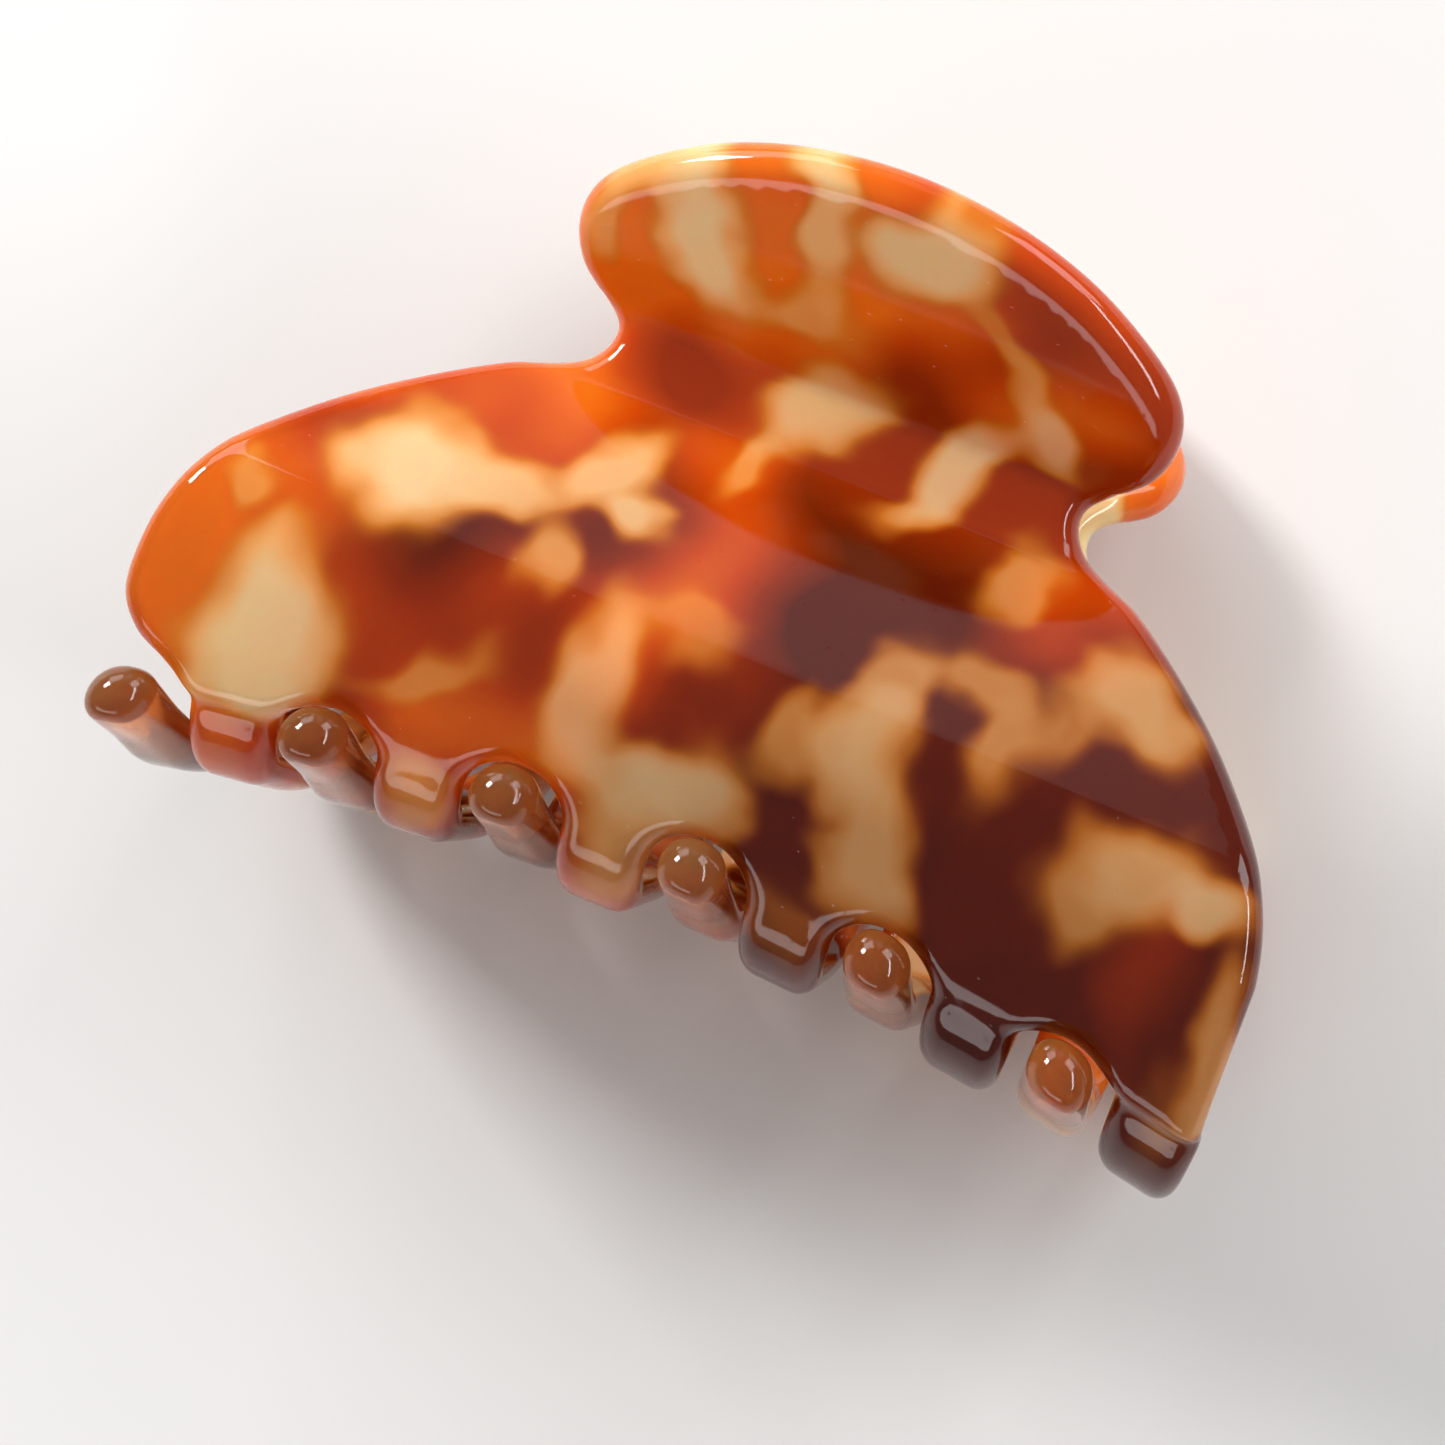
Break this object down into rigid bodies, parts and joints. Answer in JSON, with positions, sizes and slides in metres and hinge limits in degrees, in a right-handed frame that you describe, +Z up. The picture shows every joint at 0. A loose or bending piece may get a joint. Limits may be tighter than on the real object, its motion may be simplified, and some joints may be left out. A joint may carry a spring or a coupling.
{
  "type": "hair claw clip",
  "caption": "Tortoiseshell acetate hair claw clip: two curled, toothed jaws on a sprung metal hinge, opened by squeezing the handles.",
  "frame": {"origin": "under the middle of the closed clip's box, on the table it lies on", "axes": "+X along the hinge pin, +Y from the teeth to the handles, +Z up from the back jaw to the front jaw"},
  "size_m": [0.095, 0.0668, 0.048],
  "materials": {
    "acetate": "tumbled and polished tortoiseshell cellulose acetate, amber to red-brown with cream shards",
    "plated_steel": "stamped steel, nickel plated",
    "spring_steel": "drawn spring wire"
  },
  "bodies": {
    "back_side": {"back_jaw": "acetate", "back_hinge_leaf": "plated_steel", "back_screw_left": "plated_steel", "back_screw_right": "plated_steel", "hinge_pin": "plated_steel", "torsion_spring": "spring_steel"},
    "front_side": {"front_jaw": "acetate", "front_hinge_leaf": "plated_steel", "front_screw_left": "plated_steel", "front_screw_right": "plated_steel"}
  },
  "joints": [
    {"name": "jaw_hinge", "type": "hinge", "parent": "back_side", "child": "front_side", "pos_m": [0, 0.01389, 0.02401], "axis": [-1, 0, 0], "range_deg": [0, 85], "stiffness_Nm_per_rad": 0.23, "springref_deg": -25.21, "deforming": ["torsion_spring"]}
  ]
}
